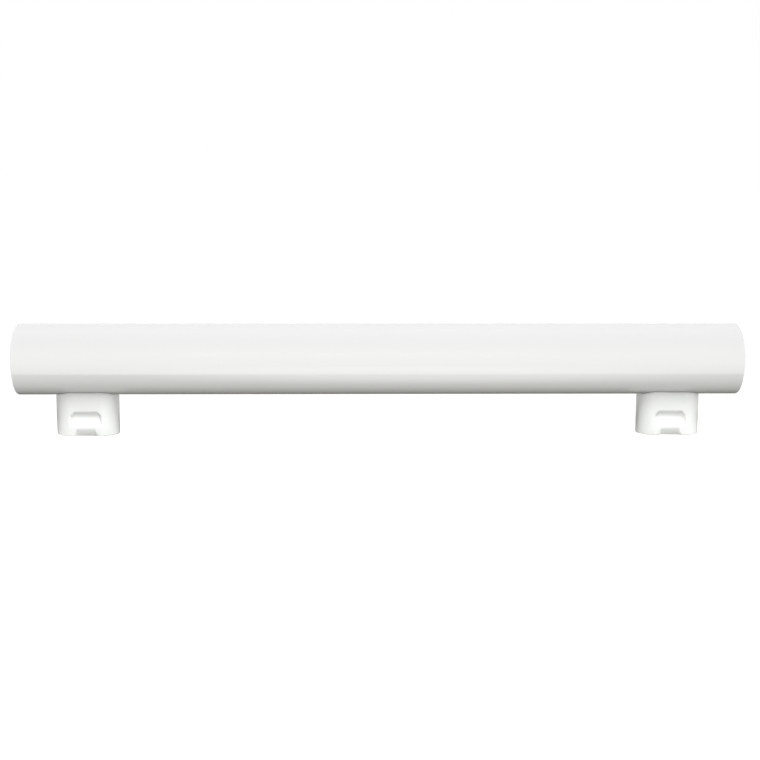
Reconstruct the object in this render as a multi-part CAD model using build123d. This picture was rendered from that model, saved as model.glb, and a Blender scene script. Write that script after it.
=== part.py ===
from build123d import *
import os
from math import asin, cos, degrees, radians, sin

# Linear opal lamp: a sealed tube on two oblong moulded pegs that snap into a pair of lamp holders.
# Lengths are in millimetres and angles in degrees. The origin lies midway between the pegs, on the
# plane of their feet. +X runs along the tube, -Y is the front and +Z points from the feet to the tube.

# Opal tube
TUBE_LENGTH = 300.0
TUBE_DIAMETER = 29.3
TUBE_WALL = 1.3
END_CROWN_RADIUS = 62.0
END_EDGE_RADIUS = 1.0

# Base pegs, measured at the foot, with their middles set in from the tube's ends
PEG_INSET = 29.75
PEG_LENGTH = 25.7
PEG_WIDTH = 14.0
PEG_HEIGHT = 16.45
PEG_DRAFT = 0.2
FOOT_CHAMFER = 0.2
BOND_GAP = 0.1

# Pockets in both long faces of a peg, with heights measured up the face from the foot
POCKET_WALL_ANGLE = 48.0
POCKET_FLOOR_RADIUS = 10.0
RECESS_LIP_HEIGHT = 10.4
RECESS_CREST_HEIGHT = 3.8
RECESS_WIDTH = 13.3
RECESS_CORNER = 1.9
RECESS_DEPTH = 1.6
RECESS_ROOT_DROP = 2.2
RECESS_ROOT_RADIUS = 2.6
LEAD_IN_HEIGHT = 3.1
LEAD_IN_RUN_OUT = 0.5
LEAD_IN_DEPTH = 1.7
LEAD_IN_FOOT_WIDTH = 10.1
LEAD_IN_TOP_WIDTH = 7.4

# Contact in the foot of a peg, and the bore for its lead
CONTACT_LENGTH = 8.0
CONTACT_WIDTH = 5.0
CONTACT_THICKNESS = 0.8
CONTACT_CHAMFER = 0.2
CONTACT_SETBACK = 0.3
CONTACT_CLEARANCE = 0.1
LEAD_BORE = 4.0
SHANK_LENGTH = 3.0
SHANK_CLEARANCE = 0.1

# Places worked out from the sizes above
TUBE_RADIUS = TUBE_DIAMETER / 2
TUBE_AXIS_HEIGHT = PEG_HEIGHT + TUBE_RADIUS
PEG_PLACES = {"left": PEG_INSET - TUBE_LENGTH / 2, "right": TUBE_LENGTH / 2 - PEG_INSET}
UPRIGHT = (Align.CENTER, Align.CENTER, Align.MIN)

# A peg's front face leans out by the draft. On FRONT, y runs up that face and z into the peg.
# On SIDE, x runs up the face and y into the peg.
FACE_INWARD = (0, cos(radians(PEG_DRAFT)), sin(radians(PEG_DRAFT)))
FRONT = Plane(origin=(0, -PEG_WIDTH / 2, 0), x_dir=(-1, 0, 0), z_dir=FACE_INWARD)
SIDE = Plane(origin=FRONT.origin, x_dir=FRONT.y_dir, z_dir=FRONT.x_dir)


def tube_section(radius, half_length, crown_radius):
    """Half the section of a closed tube with crowned ends, from the X axis up."""
    crown_angle = degrees(asin(radius / crown_radius))
    right_end = CenterArc((half_length - crown_radius, 0), crown_radius, 0, crown_angle)
    left_end = mirror(right_end, Plane.YZ)
    side = Line(right_end @ 1, left_end @ 1)
    axis = Line(left_end @ 0, right_end @ 0)
    return make_face([right_end, side, left_end, axis])


def opal_tube():
    """The sealed tube, with a hole over each peg for the lead."""
    outside = tube_section(TUBE_RADIUS, TUBE_LENGTH / 2, END_CROWN_RADIUS)
    outside = fillet(outside.vertices().group_by(Axis.Y)[-1], END_EDGE_RADIUS)
    inside = tube_section(TUBE_RADIUS - TUBE_WALL, TUBE_LENGTH / 2 - TUBE_WALL, END_CROWN_RADIUS - TUBE_WALL)
    tube = Pos(0, 0, TUBE_AXIS_HEIGHT) * revolve(outside - inside, Axis.X)
    for x in PEG_PLACES.values():
        tube -= Pos(x, 0, 0) * Cylinder(LEAD_BORE / 2, TUBE_AXIS_HEIGHT, align=UPRIGHT)
    return tube


def pocket(outline, floor):
    """A moulded pocket: the outline's leaning walls, as deep as the curved floor."""
    depth = floor.bounding_box().size.Y
    walls = extrude(FRONT * outline, depth, taper=POCKET_WALL_ANGLE)
    return walls & extrude(SIDE * floor, PEG_LENGTH / 2, both=True)


def snap_recess():
    """The recess that the holder's spring snaps into. Its floor curves in to a rounded root."""
    side = RECESS_WIDTH / 2
    shoulder = RECESS_LIP_HEIGHT - RECESS_CORNER
    above = RECESS_LIP_HEIGHT + RECESS_DEPTH
    top = side - (above - shoulder)
    outline = make_face(
        Polyline(
            (-side, RECESS_CREST_HEIGHT),
            (side, RECESS_CREST_HEIGHT),
            (side, shoulder),
            (top, above),
            (-top, above),
            (-side, shoulder),
            close=True,
        )
    )
    crest = (RECESS_CREST_HEIGHT, 0)
    lip = (RECESS_LIP_HEIGHT, 0)
    root = (RECESS_LIP_HEIGHT - RECESS_ROOT_DROP, RECESS_DEPTH)
    floor = make_face([Polyline(crest, lip, root), RadiusArc(root, crest, POCKET_FLOOR_RADIUS)])
    floor = fillet(floor.vertices().sort_by(Axis.Y)[-1], RECESS_ROOT_RADIUS)
    return pocket(outline, floor)


def lead_in():
    """The ramp at the foot that spreads the holder's spring. It runs out below the foot."""
    top = LEAD_IN_TOP_WIDTH / 2
    below = LEAD_IN_FOOT_WIDTH - top
    outline = make_face(
        Polyline(
            (-below, -LEAD_IN_HEIGHT),
            (below, -LEAD_IN_HEIGHT),
            (top, LEAD_IN_HEIGHT),
            (-top, LEAD_IN_HEIGHT),
            close=True,
        )
    )
    crest = (LEAD_IN_HEIGHT, 0)
    end = (-LEAD_IN_RUN_OUT, LEAD_IN_DEPTH)
    floor = make_face([Polyline(crest, (end[0], 0), end), RadiusArc(end, crest, -POCKET_FLOOR_RADIUS)])
    return pocket(outline, floor)


def base_peg():
    """One moulded peg, its foot on the plane of the origin and its saddle against the tube."""
    peg = extrude(SlotOverall(PEG_LENGTH, PEG_WIDTH), TUBE_AXIS_HEIGHT, taper=-PEG_DRAFT)
    peg = chamfer(peg.faces().sort_by(Axis.Z)[0].edges(), FOOT_CHAMFER)
    saddle = Cylinder(TUBE_RADIUS + BOND_GAP, TUBE_LENGTH, rotation=(0, 90, 0))
    peg -= Pos(0, 0, TUBE_AXIS_HEIGHT) * saddle
    for cut in (snap_recess(), lead_in()):
        peg -= cut
        peg -= mirror(cut, Plane.XZ)
    seat = SlotOverall(CONTACT_LENGTH + 2 * CONTACT_CLEARANCE, CONTACT_WIDTH + 2 * CONTACT_CLEARANCE)
    peg -= extrude(seat, CONTACT_SETBACK + CONTACT_THICKNESS)
    peg -= Cylinder(LEAD_BORE / 2, TUBE_AXIS_HEIGHT, align=UPRIGHT)
    return peg


def contact():
    """The contact plate in a peg's foot, set back a little, with the shank that holds it in the bore."""
    plate = extrude(SlotOverall(CONTACT_LENGTH, CONTACT_WIDTH), CONTACT_THICKNESS)
    plate = chamfer(plate.faces().sort_by(Axis.Z)[0].edges(), CONTACT_CHAMFER)
    shank = Cylinder(LEAD_BORE / 2 - SHANK_CLEARANCE, SHANK_LENGTH, align=UPRIGHT)
    return Pos(0, 0, CONTACT_SETBACK) * (plate + Pos(0, 0, CONTACT_THICKNESS) * shank)


os.makedirs("parts", exist_ok=True)
export_step(opal_tube(), "parts/opal_tube.step")
for side, x in PEG_PLACES.items():
    export_step(Pos(x, 0, 0) * base_peg(), f"parts/{side}_base_peg.step")
    export_step(Pos(x, 0, 0) * contact(), f"parts/{side}_contact.step")
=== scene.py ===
from math import atan2, cos, pi, radians, sin, sqrt

import bmesh
import bpy
from mathutils import Matrix, Vector


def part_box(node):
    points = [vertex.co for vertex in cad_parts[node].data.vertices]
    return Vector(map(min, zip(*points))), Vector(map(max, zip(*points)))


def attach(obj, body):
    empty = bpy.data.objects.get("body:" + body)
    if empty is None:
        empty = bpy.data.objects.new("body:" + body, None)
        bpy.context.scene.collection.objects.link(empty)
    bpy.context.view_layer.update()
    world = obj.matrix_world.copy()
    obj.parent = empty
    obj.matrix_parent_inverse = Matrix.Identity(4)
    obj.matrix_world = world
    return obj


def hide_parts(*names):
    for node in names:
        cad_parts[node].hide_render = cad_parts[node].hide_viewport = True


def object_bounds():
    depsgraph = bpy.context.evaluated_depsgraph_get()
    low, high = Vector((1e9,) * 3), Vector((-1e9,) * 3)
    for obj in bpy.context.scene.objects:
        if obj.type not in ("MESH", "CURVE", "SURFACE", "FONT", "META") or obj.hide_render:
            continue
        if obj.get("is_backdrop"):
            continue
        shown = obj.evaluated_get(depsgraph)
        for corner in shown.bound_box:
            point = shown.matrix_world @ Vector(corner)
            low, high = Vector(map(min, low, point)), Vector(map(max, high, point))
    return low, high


# Looks for a linear opal lamp on two moulded pegs. Everything is in metres, in the frame of the packed
# model: +X runs along the tube, -Y is the front and +Z points up from the pegs' feet.
SIDES = ("left", "right")

# Camera, fitted to the photograph's outline, with its angles in radians
IMAGE_SIZE = 760
FOCAL_PIXELS = 1404.0
SENSOR_MM = 36.0
CLIP_START = 0.01
CAMERA_PLACE = (-0.0113, -0.574, 0.1154)
CAMERA_YAW = 0.0205
CAMERA_PITCH = -0.161
CAMERA_ROLL = 0.002

# Ends of the opal tube, and the steps that its curves are drawn in
END_CROWN_RADIUS = 0.062
END_EDGE_RADIUS = 0.001
CROWN_STEPS = 12
EDGE_STEPS = 8
TUBE_SEGMENTS = 160

# The part of a texture's range that a blend of colours or numbers is spread over
BLEND_START = 0.3
BLEND_END = 0.7

# The floor, and the dark card on it, a painted shade that darkens the lamp's underside in its gloss
FLOOR_SIZE = 8.0
CARD_LENGTH = 0.35
CARD_WIDTH = 0.084
CARD_HEIGHT = 0.0001

# Colours of the stage
WHITE = (1.0, 1.0, 1.0, 1.0)
# The cards' black is a painted shade where the dark card is mirrored in the lamp
CARD_BLACK = (0.02, 0.02, 0.02, 1.0)
FLOOR_GREY = (0.80, 0.80, 0.80, 1.0)
FLOOR_TINT = (1.0, 0.985, 0.92, 1.0)

# Levels of the white room and floor where they are seen, of the light that they throw on the lamp, and of
# the grey cards under its feet, whose glow is a painted reflection of the white pegs in the tube's gloss
ROOM_SEEN = 1.0
ROOM_LIGHT = 0.10
FLOOR_SEEN = 0.97
FLOOR_LIGHT = 0.40
FOOT_PAINTED_REFLECTION = 0.28

# Soft bright patches in front of the lamp that paint reflections into its gloss: the middle, the reach
# along each axis, and the level added there
# The dark card's patch is a painted reflection that brightens the middle of the lamp's underside
CARD_PAINTED_REFLECTION = (Vector((0.025, -0.040, 0.0)), Vector((0.20, 0.040, 1.0)), 0.9)
# The floor's patch is a painted reflection that brightens the lamp's gloss above its shaded underside
FLOOR_PAINTED_REFLECTION = (Vector((0.005, -0.042, 0.0)), Vector((0.22, 0.130, 1.0)), 0.55)

# Soft boxes in a ring round the lamp: the pieces that each one lights, degrees from the front towards the
# right end, degrees of height, length, width and watts
SOFTBOX_DISTANCE = 1.0
SOFTBOXES = {
    "tube_front": ("tube", 0.0, 23.0, 0.50, 0.20, 8.7),
    "tube_back": ("tube", 180.0, 12.0, 0.50, 0.20, 4.5),
    "tube_back_top": ("tube", 180.0, 56.0, 1.20, 0.40, 7.4),
    "tube_left": ("tube", -90.0, 6.0, 0.50, 0.15, 3.5),
    "tube_right": ("tube", 90.0, 6.0, 0.50, 0.15, 3.5),
    "base_front": ("bases", 0.0, 5.5, 0.30, 0.19, 3.7),
    "base_front_top": ("bases", 0.0, 57.0, 0.30, 0.45, 6.4),
    "base_left": ("bases", -75.0, 40.0, 0.40, 0.30, 5.5),
    "base_right": ("bases", 75.0, 40.0, 0.40, 0.30, 5.8),
    "base_right_low": ("bases", 75.0, 10.0, 0.40, 0.30, 1.8),
    "base_back": ("bases", 180.0, 5.5, 0.30, 0.19, 3.7),
    "base_back_top": ("bases", 180.0, 57.0, 0.30, 0.45, 6.4),
}


def node_material(name):
    """A new node material: itself, its tree, its main shader and object coordinates for its textures."""
    material = bpy.data.materials.new(name)
    material.use_nodes = True
    tree = material.node_tree
    shader = tree.nodes["Principled BSDF"]
    place = tree.nodes.new("ShaderNodeTexCoord").outputs["Object"]
    return material, tree, shader, place


def noise(tree, vector, scale, detail=2.0):
    """A noise texture's value over the given coordinates."""
    texture = tree.nodes.new("ShaderNodeTexNoise")
    texture.inputs["Scale"].default_value = scale
    texture.inputs["Detail"].default_value = detail
    tree.links.new(vector, texture.inputs["Vector"])
    return texture.outputs["Fac"]


def stretched(tree, vector, scale):
    """Coordinates multiplied by the given factors, so that a texture stretches where they are small."""
    mapping = tree.nodes.new("ShaderNodeMapping")
    mapping.inputs["Scale"].default_value = scale
    tree.links.new(vector, mapping.inputs["Vector"])
    return mapping.outputs["Vector"]


def ramp(tree, value, low, high, target):
    """Feeds a colour socket with a blend from low to high, driven by a texture's value."""
    blend = tree.nodes.new("ShaderNodeValToRGB")
    blend.color_ramp.elements[0].position = BLEND_START
    blend.color_ramp.elements[1].position = BLEND_END
    blend.color_ramp.elements[0].color = (*low, 1.0)
    blend.color_ramp.elements[1].color = (*high, 1.0)
    tree.links.new(value, blend.inputs["Fac"])
    tree.links.new(blend.outputs["Color"], target)


def spread(tree, value, low, high, target):
    """Feeds a number socket with a texture's value mapped to run from low to high."""
    mapping = tree.nodes.new("ShaderNodeMapRange")
    mapping.inputs["From Min"].default_value = BLEND_START
    mapping.inputs["From Max"].default_value = BLEND_END
    mapping.inputs["To Min"].default_value = low
    mapping.inputs["To Max"].default_value = high
    tree.links.new(value, mapping.inputs["Value"])
    tree.links.new(mapping.outputs["Result"], target)


def patch(tree, vector, shape, level, target):
    """Feeds a number socket with a level that rises softly in a patch of the given shape."""
    middle, reach, added = shape
    scale = Vector(1 / length for length in reach)
    mapping = tree.nodes.new("ShaderNodeMapping")
    mapping.inputs["Location"].default_value = -middle * scale
    mapping.inputs["Scale"].default_value = scale
    gradient = tree.nodes.new("ShaderNodeTexGradient")
    gradient.gradient_type = "SPHERICAL"
    tree.links.new(vector, mapping.inputs["Vector"])
    tree.links.new(mapping.outputs["Vector"], gradient.inputs["Vector"])
    spread(tree, gradient.outputs["Fac"], level, level + added, target)


def bump(tree, height, distance, shader):
    """Gives a shader a bumped surface of the given depth."""
    node = tree.nodes.new("ShaderNodeBump")
    node.inputs["Distance"].default_value = distance
    tree.links.new(height, node.inputs["Height"])
    tree.links.new(node.outputs["Normal"], shader.inputs["Normal"])


def opal_material():
    """High-gloss opal white, with the faint long waves of a drawn tube."""
    material, tree, shader, place = node_material("opal_tube")
    clouds = noise(tree, place, scale=18.0)
    ramp(tree, clouds, (0.790, 0.790, 0.790), (0.800, 0.800, 0.800), shader.inputs["Base Color"])
    haze = noise(tree, place, scale=60.0, detail=4.0)
    spread(tree, haze, 0.05, 0.09, shader.inputs["Roughness"])
    shader.inputs["IOR"].default_value = 1.85
    waves = noise(tree, stretched(tree, place, (0.15, 1.0, 1.0)), scale=60.0)
    bump(tree, waves, 0.000005, shader)
    return material


def peg_material():
    """Satin-gloss moulded white plastic with a fine grain, which light enters a little."""
    material, tree, shader, place = node_material("base_plastic")
    clouds = noise(tree, place, scale=90.0)
    ramp(tree, clouds, (0.876, 0.892, 0.888), (0.884, 0.900, 0.896), shader.inputs["Base Color"])
    haze = noise(tree, place, scale=400.0, detail=4.0)
    spread(tree, haze, 0.28, 0.32, shader.inputs["Roughness"])
    shader.inputs["Subsurface Weight"].default_value = 1.0
    shader.inputs["Subsurface Radius"].default_value = (1.0, 1.0, 1.0)
    shader.inputs["Subsurface Scale"].default_value = 0.0016
    grain = noise(tree, place, scale=2500.0, detail=3.0)
    bump(tree, grain, 0.000001, shader)
    return material


def contact_material():
    """Nickel plate, brushed lengthwise."""
    material, tree, shader, place = node_material("contact_metal")
    streaks = noise(tree, stretched(tree, place, (0.06, 1.0, 1.0)), scale=3500.0, detail=4.0)
    ramp(tree, streaks, (0.62, 0.59, 0.53), (0.76, 0.73, 0.67), shader.inputs["Base Color"])
    spread(tree, streaks, 0.22, 0.40, shader.inputs["Roughness"])
    shader.inputs["Metallic"].default_value = 1.0
    bump(tree, streaks, 0.00001, shader)
    return material


def arc(x, r, radius, start, stop, steps):
    """Points along an arc about (x, r), from just past its start to its stop."""
    angles = (start + (stop - start) * i / steps for i in range(1, steps + 1))
    return [(x + radius * cos(a), r + radius * sin(a)) for a in angles]


def end_profile(radius, half_length):
    """Points (x, r) from near the middle of the right end, over its rounded edge, to the tube's side."""
    crown_middle = half_length - END_CROWN_RADIUS
    edge_r = radius - END_EDGE_RADIUS
    edge_x = crown_middle + sqrt((END_CROWN_RADIUS - END_EDGE_RADIUS) ** 2 - edge_r**2)
    meeting = atan2(edge_r, edge_x - crown_middle)
    crown = arc(crown_middle, 0.0, END_CROWN_RADIUS, 0.0, meeting, CROWN_STEPS)
    edge = arc(edge_x, edge_r, END_EDGE_RADIUS, meeting, pi / 2, EDGE_STEPS)
    return crown + edge


def turned(name, middle, half_length, profile):
    """A closed mesh turned about a line along X: a ring for each point (x, r), and a tip at each end."""
    mesh = bmesh.new()
    angles = [2 * pi * i / TUBE_SEGMENTS for i in range(TUBE_SEGMENTS)]
    rings = []
    for x, r in profile:
        rings.append([mesh.verts.new(middle + Vector((x, r * cos(a), r * sin(a)))) for a in angles])
    for near, far in zip(rings, rings[1:]):
        for i in range(TUBE_SEGMENTS):
            j = (i + 1) % TUBE_SEGMENTS
            mesh.faces.new((near[i], near[j], far[j], far[i]))
    for ring, x in ((rings[0], half_length), (rings[-1], -half_length)):
        tip = mesh.verts.new(middle + Vector((x, 0, 0)))
        for i in range(TUBE_SEGMENTS):
            mesh.faces.new((ring[i], ring[(i + 1) % TUBE_SEGMENTS], tip))
    bmesh.ops.recalc_face_normals(mesh, faces=mesh.faces)
    data = bpy.data.meshes.new(name)
    mesh.to_mesh(data)
    mesh.free()
    data.shade_smooth()
    return data


def opal_tube(material):
    """The closed tube, turned about its axis in place of the CAD tube."""
    low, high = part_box("opal_tube")
    half_length = (high.x - low.x) / 2
    right = end_profile((high.z - low.z) / 2, half_length)
    profile = right + [(-x, r) for x, r in reversed(right)]
    data = turned("opal_tube_shell", (low + high) / 2, half_length, profile)
    data.materials.append(material)
    tube = bpy.data.objects.new("opal_tube_shell", data)
    bpy.context.scene.collection.objects.link(tube)
    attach(tube, "root")
    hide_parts("opal_tube")
    return tube


def dress(node, material):
    """Gives a CAD node its material, and keeps the node out of the tube's reflections."""
    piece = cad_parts[node]
    piece.data.materials.clear()
    piece.data.materials.append(material)
    piece.visible_glossy = False
    return piece


def seen_directly(tree):
    """1 for camera, glossy and transmission rays, 0 for the rays that gather light."""
    path = tree.nodes.new("ShaderNodeLightPath")
    seen = path.outputs["Is Camera Ray"]
    for kind in ("Is Glossy Ray", "Is Transmission Ray"):
        either = tree.nodes.new("ShaderNodeMath")
        either.operation = "MAXIMUM"
        tree.links.new(seen, either.inputs[0])
        tree.links.new(path.outputs[kind], either.inputs[1])
        seen = either.outputs["Value"]
    return seen


def mixed(tree, factor, first, second):
    """The first shader where the factor is 0, and the second where it is 1."""
    mix = tree.nodes.new("ShaderNodeMixShader")
    tree.links.new(factor, mix.inputs["Fac"])
    tree.links.new(first, mix.inputs[1])
    tree.links.new(second, mix.inputs[2])
    return mix.outputs["Shader"]


def floor_material():
    """A white floor with a bright patch, a painted reflection in the lamp's gloss, which keeps a faint
    shadow where seen and is open from below.
    """
    material = bpy.data.materials.new("floor")
    material.use_nodes = True
    tree = material.node_tree
    tree.nodes.clear()
    light = tree.nodes.new("ShaderNodeEmission")
    light.inputs["Color"].default_value = FLOOR_TINT
    light.inputs["Strength"].default_value = FLOOR_LIGHT
    white = tree.nodes.new("ShaderNodeEmission")
    white.inputs["Color"].default_value = WHITE
    place = tree.nodes.new("ShaderNodeTexCoord").outputs["Object"]
    # The patch raises the white where the floor is seen: a painted reflection in the lamp's gloss
    patch(tree, place, FLOOR_PAINTED_REFLECTION, FLOOR_SEEN, white.inputs["Strength"])
    shade = tree.nodes.new("ShaderNodeBsdfDiffuse")
    shade.inputs["Color"].default_value = FLOOR_GREY
    seen = tree.nodes.new("ShaderNodeAddShader")
    tree.links.new(shade.outputs["BSDF"], seen.inputs[0])
    tree.links.new(white.outputs["Emission"], seen.inputs[1])
    top = mixed(tree, seen_directly(tree), light.outputs["Emission"], seen.outputs["Shader"])
    clear = tree.nodes.new("ShaderNodeBsdfTransparent")
    geometry = tree.nodes.new("ShaderNodeNewGeometry")
    whole = mixed(tree, geometry.outputs["Backfacing"], top, clear.outputs["BSDF"])
    output = tree.nodes.new("ShaderNodeOutputMaterial")
    tree.links.new(whole, output.inputs["Surface"])
    return material


def card_material(name):
    """A matt black card that can glow, seen only mirrored in the lamp, where its black is painted shade and
    its glow is painted light: its material, its tree, its shader and object coordinates.
    """
    material, tree, shader, place = node_material(name)
    shader.inputs["Base Color"].default_value = CARD_BLACK
    shader.inputs["Roughness"].default_value = 1.0
    shader.inputs["Specular IOR Level"].default_value = 0.0
    shader.inputs["Emission Color"].default_value = WHITE
    return material, tree, shader, place


def dark_card_material():
    """Black, a painted shade in the lamp's gloss, with a soft white patch in front of the lamp's middle, a
    painted reflection there.
    """
    material, tree, shader, place = card_material("dark_card")
    patch(tree, place, CARD_PAINTED_REFLECTION, 0.0, shader.inputs["Emission Strength"])
    return material


def painted_peg_reflection_material():
    """An even grey glow, as bright as the white pegs would throw back: a painted reflection of the pegs in
    the tube's gloss.
    """
    material, _, shader, _ = card_material("foot_card")
    shader.inputs["Emission Strength"].default_value = FOOT_PAINTED_REFLECTION
    return material


def plane(name, low, high, height, material):
    """A flat rectangle between two corners that faces up."""
    corners = [(low.x, low.y), (high.x, low.y), (high.x, high.y), (low.x, high.y)]
    data = bpy.data.meshes.new(name)
    data.from_pydata([(x, y, height) for x, y in corners], [], [(0, 1, 2, 3)])
    data.materials.append(material)
    flat = bpy.data.objects.new(name, data)
    bpy.context.scene.collection.objects.link(flat)
    flat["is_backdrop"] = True
    return flat


def card(name, low, high, height, material):
    """A flat card that is only seen mirrored in the lamp."""
    flat = plane(name, low, high, height, material)
    flat.visible_camera = False
    flat.visible_diffuse = False
    flat.visible_shadow = False


def stage():
    """The floor, a dark card under the lamp and, just above it, a grey card under each foot: the cards
    paint shade and reflections into the lamp's gloss.
    """
    floor = Vector((FLOOR_SIZE, FLOOR_SIZE)) / 2
    plane("floor", -floor, floor, 0.0, floor_material())
    # The dark card: painted shade, with a painted highlight patch, seen only mirrored in the lamp
    dark = Vector((CARD_LENGTH, CARD_WIDTH)) / 2
    card("dark_card", -dark, dark, CARD_HEIGHT, dark_card_material())
    grey = painted_peg_reflection_material()
    # Grey cards under the feet paint the pegs' reflection into the tube's gloss, where the pegs themselves
    # are hidden
    for side in SIDES:
        low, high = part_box(f"{side}_base_peg")
        card(f"{side}_foot_card", low, high, 2 * CARD_HEIGHT, grey)


def softbox(name, receivers, azimuth, height, length, width, power):
    """A rectangular soft light that points at the lamp, lights some pieces only and isn't mirrored."""
    data = bpy.data.lights.new(name, "AREA")
    data.shape = "RECTANGLE"
    data.size = length
    data.size_y = width
    data.energy = power
    lamp = bpy.data.objects.new(name, data)
    bpy.context.scene.collection.objects.link(lamp)
    turn = radians(azimuth)
    tilt = radians(height)
    outward = Vector((sin(turn) * cos(tilt), -cos(turn) * cos(tilt), sin(tilt)))
    low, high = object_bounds()
    lamp.location = (low + high) / 2 + SOFTBOX_DISTANCE * outward
    lamp.rotation_euler = outward.to_track_quat("Z", "Y").to_euler()
    lamp.visible_camera = False
    lamp.visible_glossy = False
    lamp.light_linking.receiver_collection = receivers


def lights(groups):
    """A white room, and soft boxes that each light one group of pieces."""
    world = bpy.data.worlds.new("white_room")
    bpy.context.scene.world = world
    world.use_nodes = True
    tree = world.node_tree
    room = tree.nodes["Background"]
    room.inputs["Color"].default_value = WHITE
    strength = tree.nodes.new("ShaderNodeMapRange")
    strength.inputs["To Min"].default_value = ROOM_LIGHT
    strength.inputs["To Max"].default_value = ROOM_SEEN
    tree.links.new(seen_directly(tree), strength.inputs["Value"])
    tree.links.new(strength.outputs["Result"], room.inputs["Strength"])
    collections = {}
    for group, pieces in groups.items():
        collections[group] = bpy.data.collections.new(group)
        for piece in pieces:
            collections[group].objects.link(piece)
    for name, (group, *sizes) in SOFTBOXES.items():
        softbox(name, collections[group], *sizes)


def camera():
    """The camera at the photograph's place."""
    view = Vector(
        (sin(CAMERA_YAW) * cos(CAMERA_PITCH), cos(CAMERA_YAW) * cos(CAMERA_PITCH), sin(CAMERA_PITCH))
    )
    level = Vector((cos(CAMERA_YAW), -sin(CAMERA_YAW), 0.0))
    upright = level.cross(view)
    right = cos(CAMERA_ROLL) * level + sin(CAMERA_ROLL) * upright
    up = cos(CAMERA_ROLL) * upright - sin(CAMERA_ROLL) * level
    data = bpy.data.cameras.new("camera")
    data.sensor_width = SENSOR_MM
    data.lens = SENSOR_MM * FOCAL_PIXELS / IMAGE_SIZE
    data.clip_start = CLIP_START
    eye = bpy.data.objects.new("camera", data)
    bpy.context.scene.collection.objects.link(eye)
    turn = Matrix((right, up, -view)).transposed().to_4x4()
    eye.matrix_world = Matrix.Translation(CAMERA_PLACE) @ turn
    bpy.context.scene.camera = eye


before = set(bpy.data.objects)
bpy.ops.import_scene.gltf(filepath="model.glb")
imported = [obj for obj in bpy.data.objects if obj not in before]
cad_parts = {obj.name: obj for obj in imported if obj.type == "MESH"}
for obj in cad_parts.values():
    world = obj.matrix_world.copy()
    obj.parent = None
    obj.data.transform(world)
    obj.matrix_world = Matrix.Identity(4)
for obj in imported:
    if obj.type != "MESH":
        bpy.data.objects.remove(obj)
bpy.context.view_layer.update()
bpy.context.scene.view_settings.view_transform = "Standard"
camera()
stage()
tube = opal_tube(opal_material())
plastic = peg_material()
nickel = contact_material()
bases = [dress(f"{side}_base_peg", plastic) for side in SIDES]
bases += [dress(f"{side}_contact", nickel) for side in SIDES]
lights({"tube": [tube], "bases": bases})
